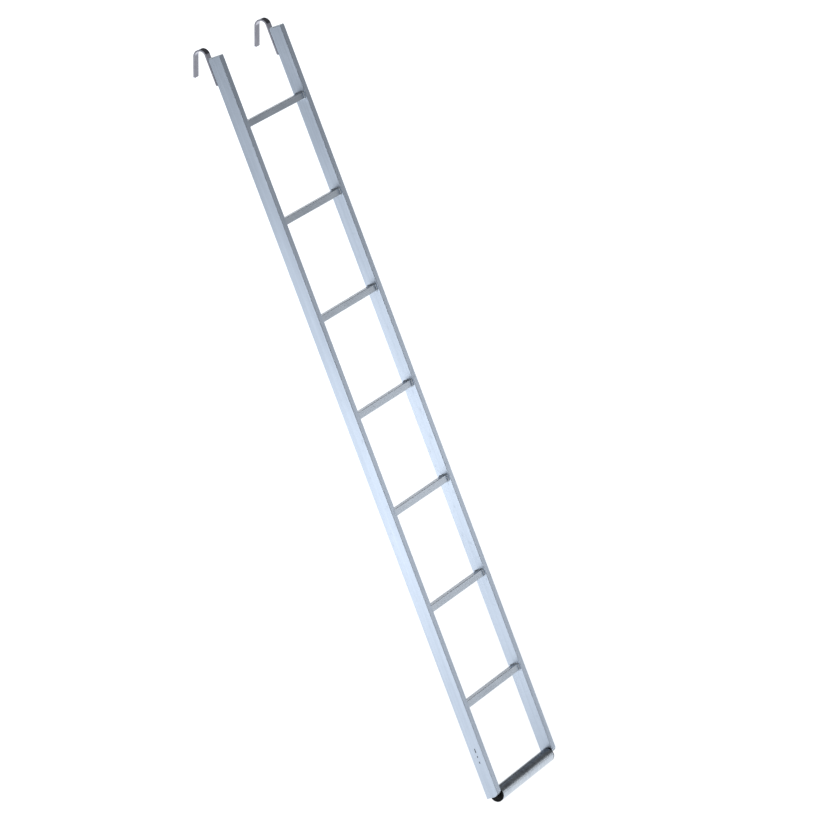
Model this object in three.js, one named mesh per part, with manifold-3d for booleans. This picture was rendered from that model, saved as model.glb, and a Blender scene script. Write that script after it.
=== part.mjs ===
// Boat boarding ladder: two box-section rails, seven welded rungs, two strap hooks that hang over a
// boat's rail, and a roller that turns between the feet of the rails.
//
// Units are millimetres. +Z is up, the rungs run along Y, the hooks reach towards -X and the person
// climbing stands on the +X side. The origin is where the boat's rail bears on the hooks, midway
// between them. Everything sits in one group that leans back by leanDeg. In that group x runs from a
// rail's back face to its front face, y runs along the rungs, and z is zero at the rails' top ends.

import * as THREE from 'three';
import { mergeVertices } from 'three/addons/utils/BufferGeometryUtils.js';
import Module from 'manifold-3d';

// ---- Driving dimensions ----

const leanDeg = 23;            // lean of the rails from plumb when the ladder hangs
const assemblyGap = 0.3;       // left between two pieces that touch

const railLength = 2290;
const railDepth = 40;          // back face to front face
const railWidth = 25;          // along the rungs
const railWall = 2;
const railCorner = 2;          // outside radius of the section's corners
const hollowCorner = 0.6;      // inside radius, and that of what fits the hollow
const railToeRadius = 15;      // rounding of each rail's front bottom corner
const clearWidth = 365;        // between the rails' inner faces

const rungCount = 7;
const rungPitch = 300;
const topRungDrop = 213;       // rails' top ends to the middle of the top rung
const rungDepth = 25;
const rungHeight = 20;
const rungWall = 2;
const rungCorner = 1.5;        // outside radius of the section's corners

const weldLeg = 2.8;           // height of the fillet weld up the rung
const weldRoot = 2.4;          // width of the fillet weld along the rail
const weldCrest = 0.6;         // thickness left at the weld's outer rim

const hookThickness = 5;
const hookWidth = 25;
const hookSeatRadius = 16.5;   // inside of the bend, where the boat's rail bears
const hookRise = 15;           // straight length of strap above the rail's end
const hookLap = 80;            // length of strap riveted to the rail's back face
const hookLegLength = 64;      // straight length of the plumb leg

const rivetShankRadius = 2.4;
const rivetHeadRadius = 4.8;
const rivetHeadHeight = 1.5;
const rivetTailRadius = 3.6;
const rivetTailTip = 2.5;      // radius of the tail's flat end
const rivetTailLength = 3;
const rivetDrops = [22, 60];   // rail's top end to each rivet

const plugDepth = 18;          // length of a top plug inside its rail
const plugFlange = 1.6;
const plugFlangeMargin = 0.6;  // how far the flange stays inside the rail's outline

const rollerRadius = 21;
const rollerWall = 2;
const rollerDrop = 1.5;        // rails' bottom ends to the roller's axis
const rollerSideGap = 2;       // rail's inner face to the roller cap's face
const capFlange = 3;
const capRimBevel = 0.8;
const capSpigotLength = 15;
const axleRadius = 5;
const runningGap = 0.35;       // radial play of the roller on its axle
const notchGap = 1;            // between the axle and the notch in the rail's inner wall
const washerRadius = 11;
const washerThickness = 1.2;

const blockLength = 37;        // length of an axle block that fills the rail's hollow
const footLength = 18;         // length of a foot cap, from the rail's bottom end upwards
const bossRadius = 10;         // round end of the axle block, about the roller's axis
const bossWidth = 9.7;         // thickness of the round end, along the axle
const axleSeatDepth = 8;       // how far the axle enters each block

const screwRadius = 2.1;
const screwHeadRadius = 4.5;
const screwCrownRadius = 3.2;  // flat middle of the pan head
const screwRimHeight = 1.3;
const screwHeadHeight = 2.2;
const screwLength = 14;
const screwRise = 40;          // rails' bottom ends up to each block screw

// ---- Places worked out from the dimensions ----

const lean = THREE.MathUtils.degToRad(leanDeg);
const depthMiddle = railDepth / 2;
const railMiddle = clearWidth / 2 + railWidth / 2;
const hollowDepth = railDepth - 2 * railWall;
const hollowWidth = railWidth - 2 * railWall;
const bottom = -railLength;
const rollerHeight = bottom - rollerDrop;
const strapX = -assemblyGap - hookThickness / 2;
const bendRadius = hookSeatRadius + hookThickness / 2;
const bendX = strapX - bendRadius;
const sides = [{ name: 'left', sign: -1 }, { name: 'right', sign: 1 }];

const cornerSegments = 2;       // per half corner
const bendSegments = 12;        // per half bend of a hook
const toeSegments = 4;          // per half quarter-round
const roundSegments = 32;
const smallSegments = 18;       // rivets and screws
const rollerSegments = 48;
const overcut = 2;              // how far a solid runs past the face it cuts or joins

// ---- Materials ----

function metal(color, roughness, metalness) {
  return new THREE.MeshStandardMaterial({ color, roughness, metalness });
}

const anodised = metal(0xc3ced8, 0.42, 0.75);
const weldMetal = metal(0xd5dadf, 0.5, 0.8);
const polishedSteel = metal(0xa9adb8, 0.2, 1);
const greyPlastic = metal(0x9aa1a6, 0.6, 0);
const blackNylon = metal(0x0c0c0e, 0.55, 0);
const turnedSteel = metal(0x8f949a, 0.3, 1);

// ---- Shapes ----

/** A rectangle with round corners, centred on (x, y). */
function roundedRectangle(width, height, radius, x = 0, y = 0) {
  const right = x + width / 2 - radius;
  const left = x - width / 2 + radius;
  const high = y + height / 2 - radius;
  const low = y - height / 2 + radius;
  const shape = new THREE.Shape();
  shape.absarc(right, high, radius, 0, Math.PI / 2);
  shape.absarc(left, high, radius, Math.PI / 2, Math.PI);
  shape.absarc(left, low, radius, Math.PI, 1.5 * Math.PI);
  shape.absarc(right, low, radius, 1.5 * Math.PI, 2 * Math.PI);
  shape.closePath();
  return shape;
}

/** A slot that is round at the top, open at the bottom, and centred on the roller's axis. */
function axleSlot(radius, foot) {
  const shape = new THREE.Shape();
  shape.moveTo(depthMiddle + radius, foot);
  shape.absarc(depthMiddle, rollerHeight, radius, 0, Math.PI);
  shape.lineTo(depthMiddle - radius, foot);
  shape.closePath();
  return shape;
}

/** What the toe's rounding removes from a rail's front bottom corner, seen from the side. */
function toeCorner() {
  const x = railDepth - railToeRadius;
  const z = bottom + railToeRadius;
  const shape = new THREE.Shape();
  shape.moveTo(x, bottom - overcut);
  shape.lineTo(railDepth + overcut, bottom - overcut);
  shape.lineTo(railDepth + overcut, z);
  shape.absarc(x, z, railToeRadius, 0, -Math.PI / 2, true);
  shape.closePath();
  return shape;
}

/** Extrudes a section drawn in x and y upwards, from z = from to z = to. */
function extrudeUp(shape, from, to, curveSegments = cornerSegments) {
  const geometry = new THREE.ExtrudeGeometry(shape, { depth: to - from, bevelEnabled: false, curveSegments });
  return geometry.translate(0, 0, from);
}

/** Extrudes an outline drawn in x and z along the rungs, centred on y. */
function extrudeAcross(shape, width, y = 0, curveSegments = cornerSegments) {
  const geometry = new THREE.ExtrudeGeometry(shape, { depth: width, bevelEnabled: false, curveSegments });
  return geometry.rotateX(Math.PI / 2).translate(0, y + width / 2, 0);
}

/** Turns a profile of [radius, y] points about the y axis. */
function lathe(profile, segments = roundSegments) {
  return new THREE.LatheGeometry(profile.map(([r, y]) => new THREE.Vector2(r, y)), segments);
}

/** A rod from x = from to x = to. */
function rodAlongX(radius, from, to, y, z) {
  const geometry = new THREE.CylinderGeometry(radius, radius, to - from, smallSegments);
  return geometry.rotateZ(Math.PI / 2).translate((from + to) / 2, y, z);
}

// ---- Cutting ----

const wasm = await Module();
wasm.setup();

function toSolid(geometry) {
  const bare = geometry.clone();
  bare.deleteAttribute('normal');
  bare.deleteAttribute('uv');
  const merged = mergeVertices(bare, 1e-4);
  return new wasm.Manifold(new wasm.Mesh({
    numProp: 3,
    vertProperties: new Float32Array(merged.attributes.position.array),
    triVerts: new Uint32Array(merged.index.array),
  }));
}

function toGeometry(solid) {
  const mesh = solid.getMesh();
  const geometry = new THREE.BufferGeometry();
  geometry.setAttribute('position', new THREE.BufferAttribute(mesh.vertProperties, 3));
  geometry.setIndex(new THREE.BufferAttribute(mesh.triVerts, 1));
  geometry.computeVertexNormals();
  return geometry;
}

function cut(geometry, cutters) {
  return toGeometry(cutters.reduce((solid, cutter) => solid.subtract(toSolid(cutter)), toSolid(geometry)));
}

function join(geometries) {
  const [first, ...rest] = geometries.map(toSolid);
  return toGeometry(rest.reduce((solid, next) => solid.add(next), first));
}

// ---- Assembly ----

const ladder = new THREE.Group();

function place(name, geometry, material, position = [0, 0, 0]) {
  const mesh = new THREE.Mesh(geometry, material);
  mesh.name = name;
  mesh.position.set(...position);
  ladder.add(mesh);
}

// ---- Rails ----

function rail(sign) {
  const section = roundedRectangle(railDepth, railWidth, railCorner, depthMiddle);
  section.holes.push(roundedRectangle(hollowDepth, hollowWidth, hollowCorner, depthMiddle));
  const innerWallY = -sign * (railWidth - railWall) / 2;
  const wallCut = railWall + 2 * assemblyGap;
  const rivetHoles = rivetDrops.map((drop) => (
    rodAlongX(rivetShankRadius + assemblyGap, -overcut, railWall + overcut, 0, -drop)));
  return cut(extrudeUp(section, bottom, 0), [
    extrudeAcross(toeCorner(), railWidth + 2 * overcut, 0, toeSegments),
    extrudeAcross(axleSlot(axleRadius + notchGap, bottom - 2 * overcut), wallCut, innerWallY, toeSegments),
    rodAlongX(screwRadius + assemblyGap, -overcut, railWall + overcut, 0, bottom + screwRise),
    ...rivetHoles,
  ]);
}

for (const { name, sign } of sides) {
  place(`${name}_rail`, rail(sign), anodised, [0, sign * railMiddle, 0]);
}

// ---- Rungs, and the weld round each end of each rung ----

function rung() {
  const section = roundedRectangle(rungDepth, rungHeight, rungCorner);
  section.holes.push(roundedRectangle(
    rungDepth - 2 * rungWall, rungHeight - 2 * rungWall, hollowCorner));
  return extrudeAcross(section, clearWidth - 2 * assemblyGap);
}

/** A fillet ring round a rung's end, widest against the rail and thinnest at its rim. */
function weld(sign) {
  const ring = (growth) => roundedRectangle(
    rungDepth + 2 * growth, rungHeight + 2 * growth, rungCorner + growth);
  const section = ring(assemblyGap + weldRoot);
  section.holes.push(ring(assemblyGap));
  const geometry = extrudeAcross(section, weldLeg);
  const coreX = rungDepth / 2 - rungCorner;
  const coreZ = rungHeight / 2 - rungCorner;
  const rimRadius = rungCorner + assemblyGap + weldCrest;
  const point = geometry.attributes.position;
  for (let i = 0; i < point.count; i += 1) {
    const core = new THREE.Vector2(
      THREE.MathUtils.clamp(point.getX(i), -coreX, coreX),
      THREE.MathUtils.clamp(point.getZ(i), -coreZ, coreZ));
    const spoke = new THREE.Vector2(point.getX(i), point.getZ(i)).sub(core);
    const atRim = point.getY(i) * sign < 0;
    if (atRim && spoke.length() > rimRadius) {
      const rim = core.add(spoke.setLength(rimRadius));
      point.setX(i, rim.x);
      point.setZ(i, rim.y);
    }
  }
  return geometry;
}

for (let i = 1; i <= rungCount; i += 1) {
  const z = -topRungDrop - (i - 1) * rungPitch;
  place(`rung_${i}`, rung(), anodised, [depthMiddle, 0, z]);
  for (const { name, sign } of sides) {
    const y = sign * (clearWidth / 2 - assemblyGap - weldLeg / 2);
    place(`${name}_weld_${i}`, weld(sign), weldMetal, [depthMiddle, y, z]);
  }
}

// ---- Hooks and their rivets ----

function hookOutline() {
  const outer = bendRadius + hookThickness / 2;
  const inner = bendRadius - hookThickness / 2;
  const bend = Math.PI - lean;
  const down = new THREE.Vector2(-Math.sin(lean), -Math.cos(lean)).multiplyScalar(hookLegLength);
  const tip = (radius) => new THREE.Vector2(
    bendX + radius * Math.cos(bend), hookRise + radius * Math.sin(bend)).add(down);
  const shape = new THREE.Shape();
  shape.moveTo(strapX - hookThickness / 2, -hookLap);
  shape.lineTo(strapX + hookThickness / 2, -hookLap);
  shape.lineTo(strapX + hookThickness / 2, hookRise);
  shape.absarc(bendX, hookRise, outer, 0, bend);
  shape.lineTo(tip(outer).x, tip(outer).y);
  shape.lineTo(tip(inner).x, tip(inner).y);
  shape.absarc(bendX, hookRise, inner, bend, 0, true);
  shape.closePath();
  return shape;
}

function hook() {
  const strapBack = strapX - hookThickness / 2;
  return cut(extrudeAcross(hookOutline(), hookWidth, 0, bendSegments), rivetDrops.map((drop) => (
    rodAlongX(rivetShankRadius + assemblyGap, strapBack - overcut, overcut, 0, -drop))));
}

/** A blind rivet lying along x: a domed head behind the strap and a swollen tail inside the rail. */
function rivet() {
  const grip = hookThickness + railWall + 3 * assemblyGap;
  const domeSteps = 5;
  const dome = Array.from({ length: domeSteps + 1 }, (_, i) => {
    const angle = (i / domeSteps) * Math.PI / 2;
    return [rivetHeadRadius * Math.cos(angle), grip + rivetHeadHeight * Math.sin(angle)];
  });
  dome[domeSteps][0] = 0;
  const profile = [
    [0, -rivetTailLength], [rivetTailTip, -rivetTailLength], [rivetTailRadius, -rivetTailLength / 2],
    [rivetTailRadius, 0], [rivetShankRadius, 0], [rivetShankRadius, grip], ...dome,
  ];
  return lathe(profile, smallSegments).rotateZ(Math.PI / 2);
}

for (const { name, sign } of sides) {
  const y = sign * railMiddle;
  place(`${name}_hook`, hook(), polishedSteel, [0, y, 0]);
  rivetDrops.forEach((drop, i) => {
    place(`${name}_hook_rivet_${i + 1}`, rivet(), turnedSteel, [railWall + assemblyGap, y, -drop]);
  });
}

// ---- Plugs in the rails' top ends ----

function topPlug() {
  const body = roundedRectangle(
    hollowDepth - 2 * assemblyGap, hollowWidth - 2 * assemblyGap, hollowCorner, depthMiddle);
  const flange = roundedRectangle(
    railDepth - 2 * plugFlangeMargin, railWidth - 2 * plugFlangeMargin, railCorner, depthMiddle);
  return join([
    extrudeUp(body, -plugDepth, 2 * assemblyGap),
    extrudeUp(flange, assemblyGap, assemblyGap + plugFlange),
  ]);
}

for (const { name, sign } of sides) {
  place(`${name}_top_plug`, topPlug(), greyPlastic, [0, sign * railMiddle, 0]);
}

// ---- Feet of the rails: axle blocks, foot caps and screws ----

const bossY = (sign) => -sign * (hollowWidth / 2 - assemblyGap - bossWidth / 2);

/** The nylon block that carries the axle: it fills the hollow, and its round end looks out below. */
function axleBlock(sign) {
  const section = roundedRectangle(
    hollowDepth - 2 * assemblyGap, hollowWidth - 2 * assemblyGap, hollowCorner, depthMiddle);
  const low = bottom + footLength + assemblyGap;
  const bossTop = low + overcut;
  const boss = new THREE.Shape();
  boss.moveTo(depthMiddle - bossRadius, bossTop);
  boss.absarc(depthMiddle, rollerHeight, bossRadius, Math.PI, 2 * Math.PI);
  boss.lineTo(depthMiddle + bossRadius, bossTop);
  boss.closePath();
  const seat = new THREE.CylinderGeometry(
    axleRadius + assemblyGap, axleRadius + assemblyGap, axleSeatDepth + overcut, roundSegments);
  const innerFace = -sign * (hollowWidth / 2 - assemblyGap);
  seat.translate(depthMiddle, innerFace + sign * (axleSeatDepth - overcut) / 2, rollerHeight);
  const body = join([
    extrudeUp(section, low, low + blockLength),
    extrudeAcross(boss, bossWidth, bossY(sign), toeSegments),
  ]);
  const pilot = rodAlongX(screwRadius + assemblyGap, 0, screwLength + overcut, 0, bottom + screwRise);
  return cut(body, [seat, pilot]);
}

/** The cap that closes the rail's bottom end round the block's boss, with the rail's own toe. */
function footCap(sign) {
  const section = roundedRectangle(
    hollowDepth - 2 * assemblyGap, hollowWidth - 2 * assemblyGap, hollowCorner, depthMiddle);
  const pocket = roundedRectangle(
    2 * (bossRadius + assemblyGap), bossWidth + 2 * assemblyGap + overcut, hollowCorner,
    depthMiddle, bossY(sign) - sign * overcut / 2);
  return cut(extrudeUp(section, bottom, bottom + footLength), [
    extrudeUp(pocket, bottom - overcut, bottom + footLength + overcut),
    extrudeAcross(toeCorner(), railWidth + 2 * overcut, 0, toeSegments),
  ]);
}

/** A pan-head screw lying along x, its head behind the rail. */
function blockScrew() {
  const shankTop = screwLength + assemblyGap;
  return lathe([
    [0, 0], [screwRadius, screwRadius], [screwRadius, shankTop], [screwHeadRadius, shankTop],
    [screwHeadRadius, shankTop + screwRimHeight], [screwCrownRadius, shankTop + screwHeadHeight],
    [0, shankTop + screwHeadHeight],
  ], smallSegments).rotateZ(Math.PI / 2);
}

for (const { name, sign } of sides) {
  const y = sign * railMiddle;
  place(`${name}_axle_block`, axleBlock(sign), blackNylon, [0, y, 0]);
  place(`${name}_foot_cap`, footCap(sign), greyPlastic, [0, y, 0]);
  place(`${name}_block_screw`, blockScrew(), turnedSteel, [screwLength, y, bottom + screwRise]);
}

// ---- Roller ----

const capFaceY = clearWidth / 2 - rollerSideGap;
const rollerEndY = capFaceY - capFlange - assemblyGap;
const axleEndY = clearWidth / 2 + railWall + axleSeatDepth;

function ring(outer, inner, from, to, segments) {
  return lathe([[inner, from], [outer, from], [outer, to], [inner, to], [inner, from]], segments);
}

/** The nylon cap in one end of the roller: a flange over the tube's end and a spigot inside it. */
function rollerCap() {
  const bore = axleRadius + runningGap;
  const spigot = rollerRadius - rollerWall - assemblyGap;
  const capFace = capSpigotLength + capFlange;
  return lathe([
    [bore, 0], [spigot, 0], [spigot, capSpigotLength], [rollerRadius, capSpigotLength],
    [rollerRadius, capFace - capRimBevel], [rollerRadius - capRimBevel, capFace],
    [bore, capFace], [bore, 0],
  ], rollerSegments);
}

const rollerPlace = [depthMiddle, 0, rollerHeight];
place('roller_tube', ring(rollerRadius, rollerRadius - rollerWall, -rollerEndY, rollerEndY, rollerSegments),
  anodised, rollerPlace);
place('roller_axle', lathe([
  [0, -axleEndY], [axleRadius, -axleEndY], [axleRadius, axleEndY], [0, axleEndY],
]), turnedSteel, rollerPlace);

for (const { name, sign } of sides) {
  const cap = rollerCap().translate(0, capFaceY - capSpigotLength - capFlange, 0);
  const washerY = clearWidth / 2 - (rollerSideGap + washerThickness) / 2;
  const washer = ring(washerRadius, axleRadius + assemblyGap, washerY, washerY + washerThickness);
  if (sign < 0) {
    cap.rotateX(Math.PI);
    washer.rotateX(Math.PI);
  }
  place(`${name}_roller_cap`, cap, blackNylon, rollerPlace);
  place(`${name}_thrust_washer`, washer, blackNylon, rollerPlace);
}

// ---- Hang the leaning group from the hooks' seats ----

const seat = new THREE.Vector3(
  bendX + hookSeatRadius * Math.sin(lean), 0, hookRise + hookSeatRadius * Math.cos(lean));
ladder.rotation.y = -lean;
ladder.position.copy(seat.applyAxisAngle(new THREE.Vector3(0, 1, 0), -lean).negate());

const part = new THREE.Group();
part.add(ladder);

export default part;
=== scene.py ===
# Boat boarding ladder: the looks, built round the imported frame.
import math

import bmesh
import bpy
from mathutils import Matrix, Vector


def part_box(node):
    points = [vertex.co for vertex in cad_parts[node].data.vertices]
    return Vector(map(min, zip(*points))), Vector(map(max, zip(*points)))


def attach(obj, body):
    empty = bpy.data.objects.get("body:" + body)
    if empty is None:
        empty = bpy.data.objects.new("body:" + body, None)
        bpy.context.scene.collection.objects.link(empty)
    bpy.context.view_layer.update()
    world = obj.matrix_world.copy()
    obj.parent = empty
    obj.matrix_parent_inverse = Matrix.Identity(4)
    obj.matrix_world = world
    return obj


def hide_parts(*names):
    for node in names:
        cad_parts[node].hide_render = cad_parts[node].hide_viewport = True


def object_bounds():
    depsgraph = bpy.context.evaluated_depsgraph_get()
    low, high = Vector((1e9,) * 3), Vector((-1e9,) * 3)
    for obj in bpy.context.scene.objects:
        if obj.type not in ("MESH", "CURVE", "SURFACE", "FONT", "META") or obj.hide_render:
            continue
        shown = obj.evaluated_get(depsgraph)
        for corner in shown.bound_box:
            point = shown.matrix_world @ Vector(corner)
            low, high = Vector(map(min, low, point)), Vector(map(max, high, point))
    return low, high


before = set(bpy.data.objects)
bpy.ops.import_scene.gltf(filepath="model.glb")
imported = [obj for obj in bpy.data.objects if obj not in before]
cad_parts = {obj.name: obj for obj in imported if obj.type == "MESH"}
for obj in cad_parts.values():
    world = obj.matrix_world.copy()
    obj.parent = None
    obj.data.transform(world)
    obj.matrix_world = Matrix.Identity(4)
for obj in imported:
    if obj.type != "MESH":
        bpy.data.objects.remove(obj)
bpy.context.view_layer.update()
mm = 0.001
near = 0.1 * mm  # places closer than this count as the same
inLine = 0.999  # and so do directions whose dot product is over this
print("frame loaded,", len(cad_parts), "parts")


# The ladder leans, so pieces are drawn standing up and leaned back at the end: x goes from
# the rails' back to their front, y along the rungs, z up the rails.

rungNames = sorted(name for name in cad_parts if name.startswith("rung_"))


def middle(node):
    low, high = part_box(node)
    return (low + high) / 2


downRails = middle(rungNames[-1]) - middle(rungNames[0])
lean = math.atan2(downRails.x, -downRails.z)
standUp = Matrix.Rotation(lean, 4, "Y")


def standingBox(node):
    points = [standUp @ vert.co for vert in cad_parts[node].data.vertices]
    return tuple(Vector(pick(point[i] for point in points) for i in range(3)) for pick in (min, max))


def standingMiddle(node):
    return sum(standingBox(node), Vector()) / 2


# finishes

def linear(hexCode):
    channels = [int(hexCode[i:i + 2], 16) / 255 for i in (0, 2, 4)]
    return tuple(c / 12.92 if c <= 0.04045 else ((c + 0.055) / 1.055) ** 2.4 for c in channels) + (1.0,)


def addNode(tree, kind, settings=None, links=None, stops=None):
    node = tree.nodes.new(kind)
    for key, value in (settings or {}).items():
        if isinstance(key, int) or key in node.inputs:
            node.inputs[key].default_value = value
        else:
            setattr(node, key, value)
    for key, source in (links or {}).items():
        tree.links.new(source, node.inputs[key])
    for i, (position, color) in enumerate(stops or []):
        ramp = node.color_ramp.elements
        stop = ramp[i] if i < 2 else ramp.new(position)  # a new ramp has two stops
        stop.position, stop.color = position, color
    return node


def grain(tree, place, stretch, detail, roughness=0.5):
    # noise whose grains are stretch millimetres long in x, y and z
    scaled = addNode(tree, "ShaderNodeMapping", {"Scale": [1 / (size * mm) for size in stretch]},
                     {"Vector": place})
    return addNode(tree, "ShaderNodeTexNoise", {"Scale": 1.0, "Detail": detail, "Roughness": roughness},
                   {"Vector": scaled.outputs[0]}).outputs[0]


# how much of cloud and lines a finish mixes, how fine each noise is, and between which values
# of it the colour, the roughness and the rubbed spots change
pattern = {"cloudShare": 0.6, "lineShare": 0.4, "cloudDetail": 4, "lineDetail": 2, "scuffDetail": 5,
           "scuffGrit": 0.6, "textureDetail": 2, "shades": (0.36, 0.64), "roughs": (0.25, 0.75),
           "rubbed": (0.60, 0.72)}


def spread(tree, value, ends, results):
    # takes the values between the two ends to the ones between the two results
    return addNode(tree, "ShaderNodeMapRange", {1: ends[0], 2: ends[1], 3: results[0], 4: results[1]},
                   {0: value}).outputs[0]


def newFinish(look):
    material = bpy.data.materials.new(look["name"])
    material.use_nodes = True
    tree = material.node_tree
    shader = tree.nodes["Principled BSDF"]
    shader.inputs["Metallic"].default_value = look["metallic"]
    if "ior" in look:
        shader.inputs["IOR"].default_value = look["ior"]
    if "gloss" in look:
        shader.inputs["Specular IOR Level"].default_value = look["gloss"]
    point = addNode(tree, "ShaderNodeTexCoord").outputs["Object"]
    place = addNode(tree, "ShaderNodeMapping", {"Rotation": (0, lean, 0)}, {"Vector": point}).outputs[0]
    # colour: a slow cloudiness and fine lines left by how it was made
    cloud = grain(tree, place, look["cloud"], pattern["cloudDetail"])
    lines = grain(tree, place, look["lines"], pattern["lineDetail"])
    share = addNode(tree, "ShaderNodeMath", {"operation": "MULTIPLY", 1: pattern["lineShare"]},
                    {0: lines}).outputs[0]
    mixed = addNode(tree, "ShaderNodeMath", {"operation": "MULTIPLY_ADD", 1: pattern["cloudShare"]},
                    {0: cloud, 2: share}).outputs[0]
    shade = addNode(tree, "ShaderNodeValToRGB", None, {0: mixed},
                    list(zip(pattern["shades"], (linear(look["deep"]), linear(look["pale"])))))
    tree.links.new(shade.outputs[0], shader.inputs["Base Color"])
    rough = spread(tree, mixed, pattern["roughs"], look["roughness"])
    if "scuffs" in look:
        # rare rubbed spots, where the finish is a little duller
        rubbed = grain(tree, place, look["scuffs"], pattern["scuffDetail"], pattern["scuffGrit"])
        worn = spread(tree, rubbed, pattern["rubbed"], (0.0, look["scuffDepth"]))
        rough = addNode(tree, "ShaderNodeMath", {"operation": "ADD"}, {0: rough, 1: worn}).outputs[0]
    tree.links.new(rough, shader.inputs["Roughness"])
    fine = grain(tree, place, look["texture"], pattern["textureDetail"])
    bump = addNode(tree, "ShaderNodeBump", {"Strength": look["bump"], "Distance": look["bumpHeight"] * mm},
                   {"Height": fine})
    tree.links.new(bump.outputs[0], shader.inputs["Normal"])
    return material


# cloud, lines, scuffs and texture are sizes in millimetres along x, y and z of the standing ladder;
# real die, drawing and polishing lines are tenths of a millimetre wide, so "lines" draws them wider
# than they are to let them show, and "texture" holds the fine ones
finishes = {
    # extruded and clear anodised: satin, cool, with faint die lines that run up the rail
    "rail": newFinish({"name": "Satin anodised aluminium", "metallic": 1.0, "deep": "b4bfcd",
                       "pale": "c4cfdd", "roughness": (0.29, 0.37), "cloud": (60, 60, 320),
                       "lines": (5, 5, 900), "scuffs": (9, 9, 26), "scuffDepth": 0.12,
                       "texture": (0.9, 0.9, 140), "bump": 0.08, "bumpHeight": 0.05}),
    # the same extrusion turned along the step, a little duller where feet rub it
    "rung": newFinish({"name": "Matt anodised aluminium", "metallic": 1.0, "deep": "bcc5d0",
                       "pale": "ccd5df", "roughness": (0.28, 0.36), "cloud": (40, 90, 40),
                       "lines": (3, 420, 3), "scuffs": (8, 16, 8), "scuffDepth": 0.12,
                       "texture": (0.9, 120, 0.9), "bump": 0.05, "bumpHeight": 0.05}),
    # filler metal left as laid: brighter and rougher, its tone mottled at random
    "weld": newFinish({"name": "As-laid aluminium weld", "metallic": 1.0, "deep": "aeb7c1",
                       "pale": "e0e6ec", "roughness": (0.36, 0.52), "cloud": (4, 4, 4),
                       "lines": (1.2, 1.2, 1.2), "texture": (0.6, 0.6, 0.6),
                       "bump": 0.25, "bumpHeight": 0.08}),
    # flat bar, bent and polished: close to a mirror, with faint polishing lines round the bend
    "hook": newFinish({"name": "Polished stainless steel", "metallic": 1.0, "deep": "b3b3bf",
                       "pale": "c6c6d0", "roughness": (0.09, 0.16), "cloud": (14, 14, 30),
                       "lines": (2, 0.8, 40), "scuffs": (5, 5, 5), "scuffDepth": 0.12,
                       "texture": (3, 0.5, 30), "bump": 0.06, "bumpHeight": 0.03}),
    # turned and tumbled stainless, softer than the hooks
    "fastener": newFinish({"name": "Tumbled stainless steel", "metallic": 1.0, "deep": "9c9fa6",
                           "pale": "b9bcc2", "roughness": (0.24, 0.34), "cloud": (3, 3, 3),
                           "lines": (0.8, 0.8, 0.8), "texture": (0.4, 0.4, 0.4),
                           "bump": 0.10, "bumpHeight": 0.03}),
    # moulded polyamide: an even, matt grey with the fine grain of its mould
    "grey_plastic": newFinish({"name": "Moulded grey polyamide", "metallic": 0.0, "ior": 1.53,
                               "deep": "8b939a", "pale": "9aa2a9", "roughness": (0.46, 0.58),
                               "cloud": (12, 12, 12), "lines": (2, 2, 2), "texture": (0.5, 0.5, 0.5),
                               "bump": 0.25, "bumpHeight": 0.05}),
    # the same plastic in black: a dull skin that hardly mirrors anything
    "black_nylon": newFinish({"name": "Moulded black nylon", "metallic": 0.0, "ior": 1.53, "gloss": 0.16,
                              "deep": "040405", "pale": "0a0a0c", "roughness": (0.36, 0.50),
                              "cloud": (10, 10, 10), "lines": (2, 2, 2), "texture": (0.5, 0.5, 0.5),
                              "bump": 0.22, "bumpHeight": 0.05}),
    # drawn tube, anodised: satin, with lines round it where it has rolled and rubbed on a hull
    "roller": newFinish({"name": "Drawn anodised tube", "metallic": 1.0, "deep": "b8c0ca",
                         "pale": "ced6de", "roughness": (0.27, 0.37), "cloud": (60, 16, 60),
                         "lines": (60, 2.5, 60), "scuffs": (10, 6, 10), "scuffDepth": 0.15,
                         "texture": (60, 0.8, 60), "bump": 0.05, "bumpHeight": 0.04}),
    # centreless-ground bar: an even shine with fine rings round it
    "axle": newFinish({"name": "Ground stainless bar", "metallic": 1.0, "deep": "93969b",
                       "pale": "abaeb4", "roughness": (0.20, 0.30), "cloud": (10, 10, 10),
                       "lines": (30, 0.8, 30), "texture": (30, 0.4, 30),
                       "bump": 0.08, "bumpHeight": 0.02}),
    # stamped acetal: waxy black with a soft shine
    "washer": newFinish({"name": "Black acetal", "metallic": 0.0, "ior": 1.48, "deep": "0d0d0f",
                         "pale": "151518", "roughness": (0.40, 0.50), "cloud": (8, 8, 8),
                         "lines": (2, 2, 2), "texture": (0.6, 0.6, 0.6),
                         "bump": 0.12, "bumpHeight": 0.03}),
}
print("finishes made:", len(finishes))


# ways of working

def putDown():
    if bpy.context.mode != "OBJECT":
        bpy.ops.object.mode_set(mode="OBJECT")
    bpy.ops.object.select_all(action="DESELECT")


def takeUp(piece):
    putDown()
    piece.select_set(True)
    bpy.context.view_layer.objects.active = piece


def applyPlace(piece):
    takeUp(piece)
    bpy.ops.object.transform_apply(location=True, rotation=True, scale=True)


def named(name):
    piece = bpy.context.object
    piece.name = piece.data.name = name
    applyPlace(piece)
    return piece


def block(name, low, high):
    putDown()
    low, high = Vector(low), Vector(high)
    bpy.ops.mesh.primitive_cube_add(size=1, location=(low + high) / 2, scale=high - low)
    return named(name)


def rod(name, radius, start, end, sides):
    putDown()
    start, end = Vector(start), Vector(end)
    turn = (end - start).to_track_quat("Z", "Y").to_euler()
    bpy.ops.mesh.primitive_cylinder_add(vertices=sides, radius=radius, depth=(end - start).length,
                                        location=(start + end) / 2, rotation=turn)
    return named(name)


def openUp(piece):
    takeUp(piece)
    bpy.ops.object.mode_set(mode="EDIT")
    bpy.ops.mesh.select_all(action="DESELECT")


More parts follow.
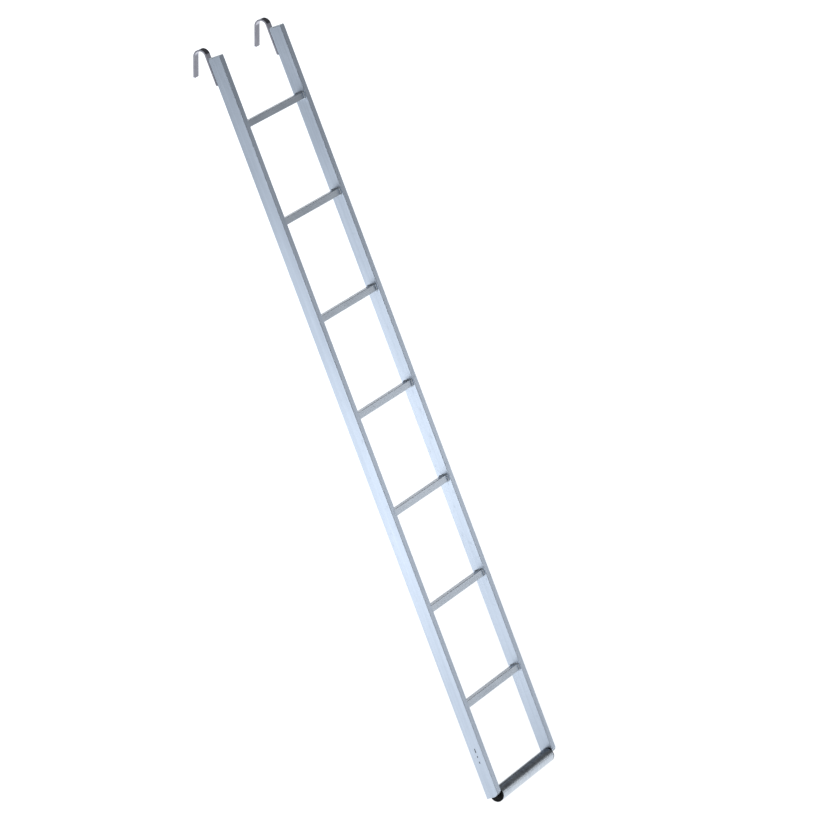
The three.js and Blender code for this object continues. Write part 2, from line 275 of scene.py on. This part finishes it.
def select(kind, test):
    # in edit mode, selects what passes the test and nothing else
    bpy.ops.mesh.select_mode(type=kind)
    bpy.ops.mesh.select_all(action="DESELECT")
    mesh = bpy.context.edit_object.data
    shape = bmesh.from_edit_mesh(mesh)
    for part in {"EDGE": shape.edges, "FACE": shape.faces}[kind]:
        if test(part):
            part.select_set(True)
    shape.select_flush_mode()
    bmesh.update_edit_mesh(mesh)


def halfway(edge):
    return (edge.verts[0].co + edge.verts[1].co) / 2


def edgesAlong(axis, where=lambda spot: True):
    def test(edge):
        way = edge.verts[1].co - edge.verts[0].co
        return abs(way[axis]) > inLine * way.length and where(halfway(edge))
    return test


def facesTowards(way, where=lambda spot: True):
    way = Vector(way)
    return lambda face: face.normal.dot(way) > inLine and where(face.calc_center_median())


def facesAcross(face):
    # the two ends of a piece that runs along y
    return abs(face.normal.y) > inLine


def pushOut(way):
    bpy.ops.mesh.extrude_region_move(TRANSFORM_OT_translate={"value": way})


def cutAway(piece, *cutters):
    for cutter in cutters:
        takeUp(piece)
        tool = piece.modifiers.new("cut", "BOOLEAN")
        tool.object, tool.operation, tool.solver = cutter, "DIFFERENCE", "EXACT"
        bpy.ops.object.modifier_apply(modifier=tool.name)
        bpy.data.objects.remove(cutter)


def breakEdges(piece, width, steps, angle=40):
    # takes the sharpness off the edges, as filing or moulding does
    takeUp(piece)
    tool = piece.modifiers.new("edges", "BEVEL")
    tool.width, tool.segments, tool.angle_limit = width * mm, steps, math.radians(angle)
    tool.limit_method, tool.use_clamp_overlap = "ANGLE", True
    bpy.ops.object.modifier_apply(modifier=tool.name)


def faceOutwards(piece):
    openUp(piece)
    bpy.ops.mesh.select_all(action="SELECT")
    bpy.ops.mesh.normals_make_consistent(inside=False)
    bpy.ops.object.mode_set(mode="OBJECT")


def copyOf(piece, name, shift=(0, 0, 0), flip=False):
    putDown()
    twin = bpy.data.objects.new(name, piece.data.copy())
    twin.data.name = name
    bpy.context.scene.collection.objects.link(twin)
    twin.location = shift
    twin.scale = (1, -1, 1) if flip else (1, 1, 1)
    applyPlace(twin)
    if flip:
        faceOutwards(twin)
    return twin


merging = {"within": 0.01, "flatAngle": 1}  # in millimetres and degrees


def refined(node, name, width, steps):
    # the part's own shape, merged and with its edges broken; it already leans
    piece = bpy.data.objects.new(name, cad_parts[node].data.copy())
    piece.data.name = name
    bpy.context.scene.collection.objects.link(piece)
    openUp(piece)
    bpy.ops.mesh.select_all(action="SELECT")
    bpy.ops.mesh.remove_doubles(threshold=merging["within"] * mm)
    bpy.ops.mesh.dissolve_limited(angle_limit=math.radians(merging["flatAngle"]))
    bpy.ops.object.mode_set(mode="OBJECT")
    breakEdges(piece, width, steps)
    return piece


shading = {"smooth": 35, "flatWeight": 70}  # edges under this many degrees are smoothed


def finishPiece(piece, body, slotName, *nodes, leaned=False, smooth=shading["smooth"]):
    # leans the piece, shades it, gives it and the parts it stands for its finish, hangs it on its body and
    # hides those parts
    putDown()
    if not leaned:
        piece.rotation_euler = (0, -lean, 0)
        applyPlace(piece)
    takeUp(piece)
    bpy.ops.object.shade_smooth_by_angle(angle=math.radians(smooth))
    tool = piece.modifiers.new("flat faces stay flat", "WEIGHTED_NORMAL")
    tool.keep_sharp, tool.weight = True, shading["flatWeight"]
    bpy.ops.object.modifier_apply(modifier=tool.name)
    for shown in [piece] + [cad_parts[node] for node in nodes]:
        shown.data.materials.clear()
        shown.data.materials.append(finishes[slotName])
    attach(piece, body)
    if nodes:
        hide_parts(*nodes)
    putDown()


# rails

rails = {"wall": 2, "corner": 2, "cornerSteps": 5, "toe": 15, "toeSides": 56, "notch": 6,
         "notchWalls": 2.4, "notchSides": 48, "rivetHole": 2.7, "screwHole": 2.4, "drillSides": 32,
         "drillBack": 20, "drillFront": 5, "endEdge": 0.3, "endEdgeSteps": 2, "endEdgeAngle": 60}
railLow, railHigh = standingBox("left_rail")
axis = standingMiddle("roller_axle")
rivetSpots = [standingMiddle(f"left_hook_rivet_{i}") for i in (1, 2)]
screwSpot = standingMiddle("left_block_screw")


def makeRail():
    wall = rails["wall"] * mm
    rail = block("left_rail_tube", railLow, railHigh)
    openUp(rail)
    select("EDGE", edgesAlong(2))
    bpy.ops.mesh.bevel(offset=rails["corner"] * mm, segments=rails["cornerSteps"], affect="EDGES")
    bpy.ops.object.mode_set(mode="OBJECT")
    hollow = block("hollow", railLow + Vector((wall, wall, -wall)), railHigh - Vector((wall, wall, -wall)))
    toe = rails["toe"] * mm
    corner = block("toe", (railHigh.x - toe, railLow.y - wall, railLow.z - wall),
                   (railHigh.x + wall, railHigh.y + wall, railLow.z + toe))
    heel = rod("heel", toe, (railHigh.x - toe, railLow.y - 2 * wall, railLow.z + toe),
               (railHigh.x - toe, railHigh.y + 2 * wall, railLow.z + toe), rails["toeSides"])
    cutAway(corner, heel)
    notchEnd = Vector((axis.x, railHigh.y + wall, axis.z))
    notch = rod("notch", rails["notch"] * mm, notchEnd - Vector((0, rails["notchWalls"] * wall, 0)),
                notchEnd, rails["notchSides"])
    drills = [rod("drill", rails["rivetHole"] * mm, spot - Vector((rails["drillBack"] * mm, 0, 0)),
                  spot + Vector((rails["drillFront"] * mm, 0, 0)), rails["drillSides"])
              for spot in rivetSpots]
    drills.append(rod("drill", rails["screwHole"] * mm, (railLow.x - wall, screwSpot.y, screwSpot.z),
                      (railLow.x + 2 * wall, screwSpot.y, screwSpot.z), rails["drillSides"]))
    cutAway(rail, hollow, corner, notch, *drills)
    breakEdges(rail, rails["endEdge"], rails["endEdgeSteps"], rails["endEdgeAngle"])
    return rail


leftRail = makeRail()
rightRail = copyOf(leftRail, "right_rail_tube", flip=True)
finishPiece(leftRail, "ladder", "rail", "left_rail")
finishPiece(rightRail, "ladder", "rail", "right_rail")
print("rails made")


# rungs

rungs = {"wall": 2, "corner": 1.0, "cornerSteps": 5}


def makeRung():
    rung = block("rung_1_tube", *standingBox(rungNames[0]))
    openUp(rung)
    select("EDGE", edgesAlong(1))
    bpy.ops.mesh.bevel(offset=rungs["corner"] * mm, segments=rungs["cornerSteps"], affect="EDGES")
    select("FACE", facesAcross)
    bpy.ops.mesh.inset(thickness=rungs["wall"] * mm)
    bpy.ops.mesh.bridge_edge_loops()
    bpy.ops.object.mode_set(mode="OBJECT")
    return rung


firstRung = makeRung()
firstRungLow = standingBox(rungNames[0])[0]
rungPieces = [firstRung] + [copyOf(firstRung, f"{name}_tube", standingBox(name)[0] - firstRungLow)
                            for name in rungNames[1:]]
for name, rung in zip(rungNames, rungPieces):
    finishPiece(rung, "ladder", "rung", name)
print("rungs made:", len(rungPieces))


# weld beads

welds = {"stations": 240, "pitch": 2.1, "ripple": 0.18, "crescent": 0.45, "crest": 0.35, "bulge": 0.35,
         "bulgeOut": 0.75, "bulgeUp": 0.66, "corner": 1.5, "gap": 0.3, "foot": 2.4, "height": 2.8,
         "rim": 0.6, "rimDrop": 0.1, "faceSteps": 9, "smooth": 50}


def roundWay(s, halfX, halfZ, corner):
    # the point and outward direction at distance s round a rectangle with round corners
    sideX, sideZ, arc = 2 * (halfX - corner), 2 * (halfZ - corner), corner * math.pi / 2
    legs = [(sideZ, 0), (arc, 0), (sideX, 1), (arc, 1), (sideZ, 2), (arc, 2), (sideX, 3), (arc, 3)]
    s %= sum(length for length, _ in legs)
    for i, (length, quarter) in enumerate(legs):
        if s <= length or i == len(legs) - 1:
            break
        s -= length
    turn = quarter * math.pi / 2 + (s / corner if i % 2 else 0)
    out = Vector((math.cos(turn), 0, math.sin(turn)))
    centres = [(1, 1), (-1, 1), (-1, -1), (1, -1)]
    if i % 2:
        cx, cz = centres[quarter]
        return Vector((cx * (halfX - corner), 0, cz * (halfZ - corner))) + out * corner, out
    along = Vector((-out.z, 0, out.x))
    half = halfX if quarter % 2 == 0 else halfZ
    return out * half + along * (s - length / 2), out


def makeWeld():
    low, high = standingBox("left_weld_1")
    rungLow, rungHigh = standingBox(rungNames[0])
    halfX, halfZ = (rungHigh.x - rungLow.x) / 2 / mm, (rungHigh.z - rungLow.z) / 2 / mm
    around = 4 * (halfX + halfZ - 2 * welds["corner"]) + 2 * math.pi * welds["corner"]
    ripples = round(around / welds["pitch"])
    steps = welds["faceSteps"]
    section = [(0, 0), (welds["foot"] / 2, 0)]
    face = [(welds["foot"] + (welds["rim"] - welds["foot"]) * i / (steps - 1),
             (welds["height"] - welds["rimDrop"]) * i / (steps - 1)) for i in range(steps)]
    section += face + [(welds["rim"] / 2, welds["height"]), (0, welds["height"]), (0, welds["height"] / 2)]
    putDown()
    # a ring with a station for each step round the rung; its own size is lost below
    bpy.ops.mesh.primitive_torus_add(major_segments=welds["stations"], minor_segments=len(section),
                                     major_radius=20 * mm, minor_radius=3 * mm)
    bead = named("left_weld_1_bead")
    centre = Vector(((rungLow.x + rungHigh.x) / 2, low.y, (rungLow.z + rungHigh.z) / 2))
    for index, vert in enumerate(bead.data.vertices):
        station, j = divmod(index, len(section))
        s = around * station / welds["stations"]
        spot, out = roundWay(s, halfX, halfZ, welds["corner"])
        off, up = section[j]
        if 2 <= j < 2 + steps:
            t = (j - 2) / (steps - 1)
            # each puddle lies over the last one, in crescents
            phase = (s / around * ripples + welds["crescent"] * (2 * t - 1) ** 2) % 1
            rise = welds["ripple"] * (1 - 2 * abs(phase - welds["crest"]))
            swell = math.sin(math.pi * t) * (welds["bulge"] + rise)
            off, up = off + welds["bulgeOut"] * swell, up + welds["bulgeUp"] * swell
        vert.co = centre + (spot + out * (welds["gap"] + off) + Vector((0, up, 0))) * mm
    faceOutwards(bead)
    return bead


firstWeld = makeWeld()
farWeld = copyOf(firstWeld, "right_weld_1_bead", flip=True)
beads = {"left_weld_1": firstWeld, "right_weld_1": farWeld}
for name in rungNames[1:]:
    shift = standingBox(name)[0] - firstRungLow
    for side, first in (("left", firstWeld), ("right", farWeld)):
        node = name.replace("rung", f"{side}_weld")
        beads[node] = copyOf(first, f"{node}_bead", shift)
for node, bead in sorted(beads.items()):
    finishPiece(bead, "ladder", "weld", node, smooth=welds["smooth"])
print("weld beads made:", len(beads))


# hooks

hooks = {"thickness": 5, "seat": 16.5, "bendSteps": 40, "tipRound": 2.5, "lapRound": 2.5, "roundSteps": 8,
         "edge": 0.4, "edgeSteps": 3, "edgeAngle": 50, "rivetHole": 2.7, "holeSides": 32}


def makeHook():
    low, high = standingBox("left_hook")
    thick, seat = hooks["thickness"] * mm, hooks["seat"] * mm
    # the bend's centre is one seat radius below the boat rail's bearing, which is the origin
    centre = standUp @ Vector((0, 0, -seat))
    strapLow = Vector((high.x - thick, low.y, low.z))
    hook = block("left_hook_strap", strapLow, (high.x, high.y, centre.z))
    openUp(hook)
    select("EDGE", edgesAlong(0, lambda spot: spot.z < low.z + mm))
    bpy.ops.mesh.bevel(offset=hooks["lapRound"] * mm, segments=hooks["roundSteps"], affect="EDGES")
    select("FACE", facesTowards((0, 0, 1)))
    bpy.ops.mesh.spin(steps=hooks["bendSteps"], angle=math.pi - lean, center=centre, axis=(0, 1, 0))
    down = standUp.to_3x3() @ Vector((0, 0, -1))
    # the free leg hangs plumb, so its end is the lowest place of the leaning part behind the seat
    legEnd = min(vert.co.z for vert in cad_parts["left_hook"].data.vertices
                 if vert.co.x < -seat + mm)
    pushOut(down * (-seat - legEnd))
    shape = bmesh.from_edit_mesh(hook.data)
    tip = sum((face.calc_center_median() for face in shape.faces if face.select), Vector())
    across = Vector((0, 1, 0)).cross(down)

    def tipCorner(edge):
        way = (edge.verts[1].co - edge.verts[0].co).normalized()
        return abs(way.dot(across)) > inLine and abs((halfway(edge) - tip).dot(down)) < near

    select("EDGE", tipCorner)
    bpy.ops.mesh.bevel(offset=hooks["tipRound"] * mm, segments=hooks["roundSteps"], affect="EDGES")
    bpy.ops.object.mode_set(mode="OBJECT")
    faceOutwards(hook)
    cutAway(hook, *[rod("drill", hooks["rivetHole"] * mm, (strapLow.x - thick, spot.y, spot.z),
                        (high.x + thick, spot.y, spot.z), hooks["holeSides"]) for spot in rivetSpots])
    breakEdges(hook, hooks["edge"], hooks["edgeSteps"], hooks["edgeAngle"])
    return hook


leftHook = makeHook()
rightHook = copyOf(leftHook, "right_hook_strap", flip=True)
finishPiece(leftHook, "ladder", "hook", "left_hook")
finishPiece(rightHook, "ladder", "hook", "right_hook")
print("hooks made")


# rivets

rivets = {"sides": 48, "head": 4.8, "headHeight": 1.5, "dome": 1.35, "domeSteps": 8, "mandrel": 1.5,
          "dimple": 0.45, "shank": 2.4, "tail": 1.5, "tailLength": 3, "tailTip": 0.7}


def makeRivet():
    low, high = standingBox("left_hook_rivet_1")
    y, z = rivetSpots[0].y, rivetSpots[0].z
    head = low.x + rivets["headHeight"] * mm
    rivet = rod("left_hook_rivet_1_pin", rivets["head"] * mm, (low.x, y, z), (head, y, z), rivets["sides"])
    openUp(rivet)
    select("EDGE", lambda edge: all(vert.co.x < low.x + near for vert in edge.verts))
    bpy.ops.mesh.bevel(offset=rivets["dome"] * mm, segments=rivets["domeSteps"], affect="EDGES")
    select("FACE", facesTowards((-1, 0, 0)))
    bpy.ops.mesh.inset(thickness=(rivets["head"] - rivets["dome"] - rivets["mandrel"]) * mm)
    pushOut((rivets["dimple"] * mm, 0, 0))
    select("FACE", facesTowards((1, 0, 0), lambda spot: spot.x > head - near))
    bpy.ops.mesh.inset(thickness=(rivets["head"] - rivets["shank"]) * mm)
    tailLength = rivets["tailLength"] * mm
    pushOut((high.x - tailLength - head, 0, 0))
    pushOut((0, 0, 0))  # the tail starts wider than the shank, at the same place
    bpy.ops.transform.resize(value=(1, rivets["tail"], rivets["tail"]))
    pushOut((tailLength / 2, 0, 0))
    pushOut((tailLength / 2, 0, 0))
    bpy.ops.transform.resize(value=(1, rivets["tailTip"], rivets["tailTip"]))
    bpy.ops.object.mode_set(mode="OBJECT")
    return rivet


firstRivet = makeRivet()
secondRivet = copyOf(firstRivet, "left_hook_rivet_2_pin", rivetSpots[1] - rivetSpots[0])
rivetPieces = {"left_hook_rivet_1": firstRivet, "left_hook_rivet_2": secondRivet}
for node, rivet in list(rivetPieces.items()):
    farNode = node.replace("left", "right")
    rivetPieces[farNode] = copyOf(rivet, f"{farNode}_pin", flip=True)
for node, rivet in rivetPieces.items():
    finishPiece(rivet, "ladder", "fastener", node)
print("rivets made")


# screws that hold the axle blocks

screws = {"sides": 48, "head": 4.5, "headHeight": 2.2, "pan": 1.4, "panSteps": 7, "shank": 2.1,
          "slotWidth": 1.0, "slotLength": 5.0, "slotDepth": 1.1, "point": 0.3}


def makeScrew():
    low, high = standingBox("left_block_screw")
    y, z = screwSpot.y, screwSpot.z
    head = low.x + screws["headHeight"] * mm
    screw = rod("left_block_screw_pin", screws["head"] * mm, (low.x, y, z), (head, y, z), screws["sides"])
    openUp(screw)
    select("EDGE", lambda edge: all(vert.co.x < low.x + near for vert in edge.verts))
    bpy.ops.mesh.bevel(offset=screws["pan"] * mm, segments=screws["panSteps"], affect="EDGES")
    select("FACE", facesTowards((1, 0, 0)))
    bpy.ops.mesh.inset(thickness=(screws["head"] - screws["shank"]) * mm)
    pushOut((high.x - head - screws["shank"] * mm, 0, 0))
    pushOut((screws["shank"] * mm, 0, 0))
    bpy.ops.transform.resize(value=(1, screws["point"], screws["point"]))
    bpy.ops.object.mode_set(mode="OBJECT")
    deep = low.x + screws["slotDepth"] * mm
    long, wide = screws["slotLength"] * mm / 2, screws["slotWidth"] * mm / 2
    cutAway(screw, block("slot", (low.x - mm, y - long, z - wide), (deep, y + long, z + wide)),
            block("slot", (low.x - mm, y - wide, z - long), (deep, y + wide, z + long)))
    return screw


leftScrew = makeScrew()
rightScrew = copyOf(leftScrew, "right_block_screw_pin", flip=True)
finishPiece(leftScrew, "ladder", "fastener", "left_block_screw")
finishPiece(rightScrew, "ladder", "fastener", "right_block_screw")
print("screws made")


# roller

roller = {"sides": 128, "wall": 2, "rimEdge": 0.4, "rimSteps": 3, "capSides": 96, "capFlange": 3,
          "spigot": 18.7, "spigotLength": 15, "bore": 5.35, "boreSides": 64, "capRimWidth": 2.5, "hub": 9.5,
          "pocketDepth": 1.2, "spokes": 6, "spokeHalf": 0.12, "capEdge": 0.35, "capEdgeSteps": 2}


def makeTube():
    low, high = standingBox("roller_tube")
    radius = (high.x - low.x) / 2
    tube = rod("roller_tube_shell", radius, (axis.x, low.y, axis.z), (axis.x, high.y, axis.z),
               roller["sides"])
    openUp(tube)
    select("FACE", facesAcross)
    bpy.ops.mesh.inset(thickness=roller["wall"] * mm)
    bpy.ops.mesh.bridge_edge_loops()
    bpy.ops.object.mode_set(mode="OBJECT")
    breakEdges(tube, roller["rimEdge"], roller["rimSteps"])
    return tube


def makeCap():
    low, high = standingBox("left_roller_cap")
    radius = (high.x - low.x) / 2
    flange = low.y + roller["capFlange"] * mm
    cap = rod("left_roller_cap_disc", radius, (axis.x, low.y, axis.z), (axis.x, flange, axis.z),
              roller["capSides"])
    openUp(cap)
    select("FACE", facesTowards((0, 1, 0)))
    bpy.ops.mesh.inset(thickness=radius - roller["spigot"] * mm)
    pushOut((0, roller["spigotLength"] * mm, 0))
    select("FACE", facesTowards((0, -1, 0)))
    bpy.ops.mesh.inset(thickness=roller["capRimWidth"] * mm)
    bpy.ops.mesh.inset(thickness=radius - (roller["capRimWidth"] + roller["hub"]) * mm)

    def pocket(face):
        # the face between rim and hub, but not where a spoke stands
        spot = face.calc_center_median() - axis
        reach = math.hypot(spot.x, spot.z) / mm
        turn = (math.atan2(spot.z, spot.x) / (2 * math.pi) * roller["spokes"]) % 1
        return (face.normal.y < -inLine and roller["hub"] < reach < radius / mm - roller["capRimWidth"]
                and roller["spokeHalf"] < turn < 1 - roller["spokeHalf"])

    select("FACE", pocket)
    pushOut((0, roller["pocketDepth"] * mm, 0))
    bpy.ops.object.mode_set(mode="OBJECT")
    cutAway(cap, rod("bore", roller["bore"] * mm, (axis.x, low.y - mm, axis.z),
                     (axis.x, high.y + mm, axis.z), roller["boreSides"]))
    breakEdges(cap, roller["capEdge"], roller["capEdgeSteps"])
    return cap


tube = makeTube()
leftCap = makeCap()
rightCap = copyOf(leftCap, "right_roller_cap_disc", flip=True)
finishPiece(tube, "roller", "roller", "roller_tube")
finishPiece(leftCap, "roller", "black_nylon", "left_roller_cap")
finishPiece(rightCap, "roller", "black_nylon", "right_roller_cap")
print("roller made")


# moulded and small parts that keep the frame's shape

moulded = {"top_plug": {"slot": "grey_plastic", "edge": 0.5, "edgeSteps": 3},
           "foot_cap": {"slot": "grey_plastic", "edge": 0.25, "edgeSteps": 2},
           "axle_block": {"slot": "black_nylon", "edge": 0.35, "edgeSteps": 2},
           "thrust_washer": {"slot": "washer", "edge": 0.15, "edgeSteps": 2}}
axleBar = {"edge": 0.4, "edgeSteps": 2}
for ending, part in moulded.items():
    for side in ("left", "right"):
        node = f"{side}_{ending}"
        finishPiece(refined(node, f"{node}_moulding", part["edge"], part["edgeSteps"]), "ladder",
                    part["slot"], node, leaned=True)
finishPiece(refined("roller_axle", "roller_axle_bar", axleBar["edge"], axleBar["edgeSteps"]), "ladder",
            "axle", "roller_axle", leaned=True)
print("small parts made")


# three plain printed dashes low on the left rail's outer face

# each dash is its height above the rail's foot and its length
dashes = {"spots": [(110, 7), (128, 6), (147, 14)], "wide": 2.4, "proud": 0.12, "across": 0.5,
          "round": 0.45, "roundSteps": 5}


def makeDashes():
    middleX = railLow.x + (railHigh.x - railLow.x) * dashes["across"]
    pads = []
    for rise, long in dashes["spots"]:
        centre = Vector((middleX, railLow.y, railLow.z + rise * mm))
        size = Vector((dashes["wide"] * mm / 2, dashes["proud"] * mm, long * mm / 2))
        pad = block("dash", centre - size, centre + Vector((size.x, 0, size.z)))
        openUp(pad)
        select("EDGE", edgesAlong(1))
        bpy.ops.mesh.bevel(offset=dashes["round"] * dashes["wide"] * mm, segments=dashes["roundSteps"],
                           affect="EDGES")
        bpy.ops.object.mode_set(mode="OBJECT")
        pads.append(pad)
    takeUp(pads[0])
    for pad in pads[1:]:
        pad.select_set(True)
    bpy.ops.object.join()
    return named("left_rail_dashes")


finishPiece(makeDashes(), "ladder", "black_nylon")
print("dashes made")


# floor, sky, lights and camera

# glow: the floor's brightness by how many metres a place is to the right of the ladder, as the
# camera sees it; sky: its brightness by height, from level to straight up
room = {"floorSize": 90, "floorCells": 4, "floorDrop": 3, "across": 25.0, "shift": -0.53,
        "tint": (0.98, 1.0, 1.03),
        "glow": [(-9.0, 0.38), (-6.0, 0.56), (-5.0, 0.75), (-3.5, 1.35), (-2.0, 2.05), (-0.8, 1.25),
                 (0.3, 1.05), (1.9, 1.05), (3.0, 0.98), (4.2, 0.60), (6.5, 0.47), (9.0, 0.47),
                 (14.0, 0.45)],
        "sky": [(0.0, 0.52), (0.09, 0.42), (0.26, 0.06), (0.55, 0.07), (0.85, 0.32), (1.0, 0.42)]}
low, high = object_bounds()


def tinted(level):
    return tuple(level * part for part in room["tint"]) + (1,)


putDown()
bpy.ops.mesh.primitive_grid_add(x_subdivisions=room["floorCells"], y_subdivisions=room["floorCells"],
                                size=room["floorSize"], location=(0, 0, low.z - room["floorDrop"] * mm))
floor = named("studio_floor")
# the floor is no lamp, yet it glows: its emission is a painted pool of light, brightest in a band near the
# ladder and fading to each side, which the metal mirrors
paper = bpy.data.materials.new("White paper with painted glow")
paper.use_nodes = True
tree = paper.node_tree
tree.nodes.clear()
point = addNode(tree, "ShaderNodeTexCoord").outputs["Object"]
placed = addNode(tree, "ShaderNodeMapping",
                 {"Rotation": (0, 0, -math.radians(room["across"])), "Location": (room["shift"], 0, 0)},
                 {"Vector": point}).outputs[0]
across = addNode(tree, "ShaderNodeSeparateXYZ", None, {0: placed}).outputs[0]
first, last = room["glow"][0][0], room["glow"][-1][0]
pool = addNode(tree, "ShaderNodeMapRange", {1: first, 2: last}, {0: across}).outputs[0]
glow = addNode(tree, "ShaderNodeValToRGB", None, {0: pool},
               [((reach - first) / (last - first), tinted(level)) for reach, level in room["glow"]])
shine = addNode(tree, "ShaderNodeEmission", {"Strength": 1.0}, {0: glow.outputs[0]})
addNode(tree, "ShaderNodeOutputMaterial", None, {0: shine.outputs[0]})
floor.data.materials.append(paper)

sky = bpy.context.scene.world or bpy.data.worlds.new("studio")
bpy.context.scene.world = sky
sky.use_nodes = True
tree = sky.node_tree
tree.nodes.clear()
way = addNode(tree, "ShaderNodeTexCoord").outputs["Generated"]
height = addNode(tree, "ShaderNodeSeparateXYZ", None, {0: way}).outputs[2]
band = addNode(tree, "ShaderNodeValToRGB", None, {0: height},
               [(rise, tinted(level)) for rise, level in room["sky"]])
back = addNode(tree, "ShaderNodeBackground", {"Strength": 1.0}, {0: band.outputs[0]})
addNode(tree, "ShaderNodeOutputWorld", None, {0: back.outputs[0]})

# the first two only brighten the plastics; the long low card shows in the metal's flats and
# the side card in its round corners and weld beads
lights = {"softTop": {"place": (0.2, -0.8, 3.2), "size": (4.0, 4.0), "power": 220, "mirrored": False},
          "softFront": {"place": (3.0, -6.5, 0.6), "size": (3.0, 3.0), "power": 70, "mirrored": False},
          "lowCard": {"place": (5.2, 7.8, -0.62), "size": (8.0, 0.9), "power": 27, "mirrored": True},
          "sideCard": {"place": (6.2, -3.3, 0.4), "size": (4.0, 2.2), "power": 30, "mirrored": True}}
target = (low + high) / 2
for name, light in lights.items():
    putDown()
    bpy.ops.object.light_add(type="AREA", location=light["place"])
    lamp = bpy.context.object
    lamp.name = name
    lamp.data.shape = "RECTANGLE"
    lamp.data.size, lamp.data.size_y = light["size"]
    lamp.data.energy = light["power"]
    aim = target - Vector(light["place"])
    if light["mirrored"]:
        aim.z *= 0  # the cards stand upright
    lamp.rotation_euler = aim.to_track_quat("-Z", "Y").to_euler()
    lamp.visible_camera, lamp.visible_glossy = False, light["mirrored"]

view = {"azimuth": 25.149, "elevation": 18.004, "roll": 0.277, "distance": 18.14, "lens": 272.63,
        "film": 36, "nearest": 0.5, "furthest": 200, "target": (0.5802, 0.0, -1.0633)}
turn, rise = math.radians(view["azimuth"]), math.radians(view["elevation"])
backwards = Vector((math.sin(turn) * math.cos(rise), -math.cos(turn) * math.cos(rise), math.sin(rise)))
putDown()
bpy.ops.object.camera_add(location=Vector(view["target"]) + backwards * view["distance"])
camera = bpy.context.object
camera.name = "studio_camera"
camera.rotation_mode = "QUATERNION"
camera.rotation_quaternion = ((-backwards).to_track_quat("-Z", "Y").to_matrix()
                              @ Matrix.Rotation(math.radians(view["roll"]), 3, "Z")).to_quaternion()
camera.data.lens, camera.data.sensor_width = view["lens"], view["film"]
camera.data.clip_start, camera.data.clip_end = view["nearest"], view["furthest"]
bpy.context.scene.camera = camera
bpy.context.scene.view_settings.view_transform = "Standard"
print("room, lights and camera set")
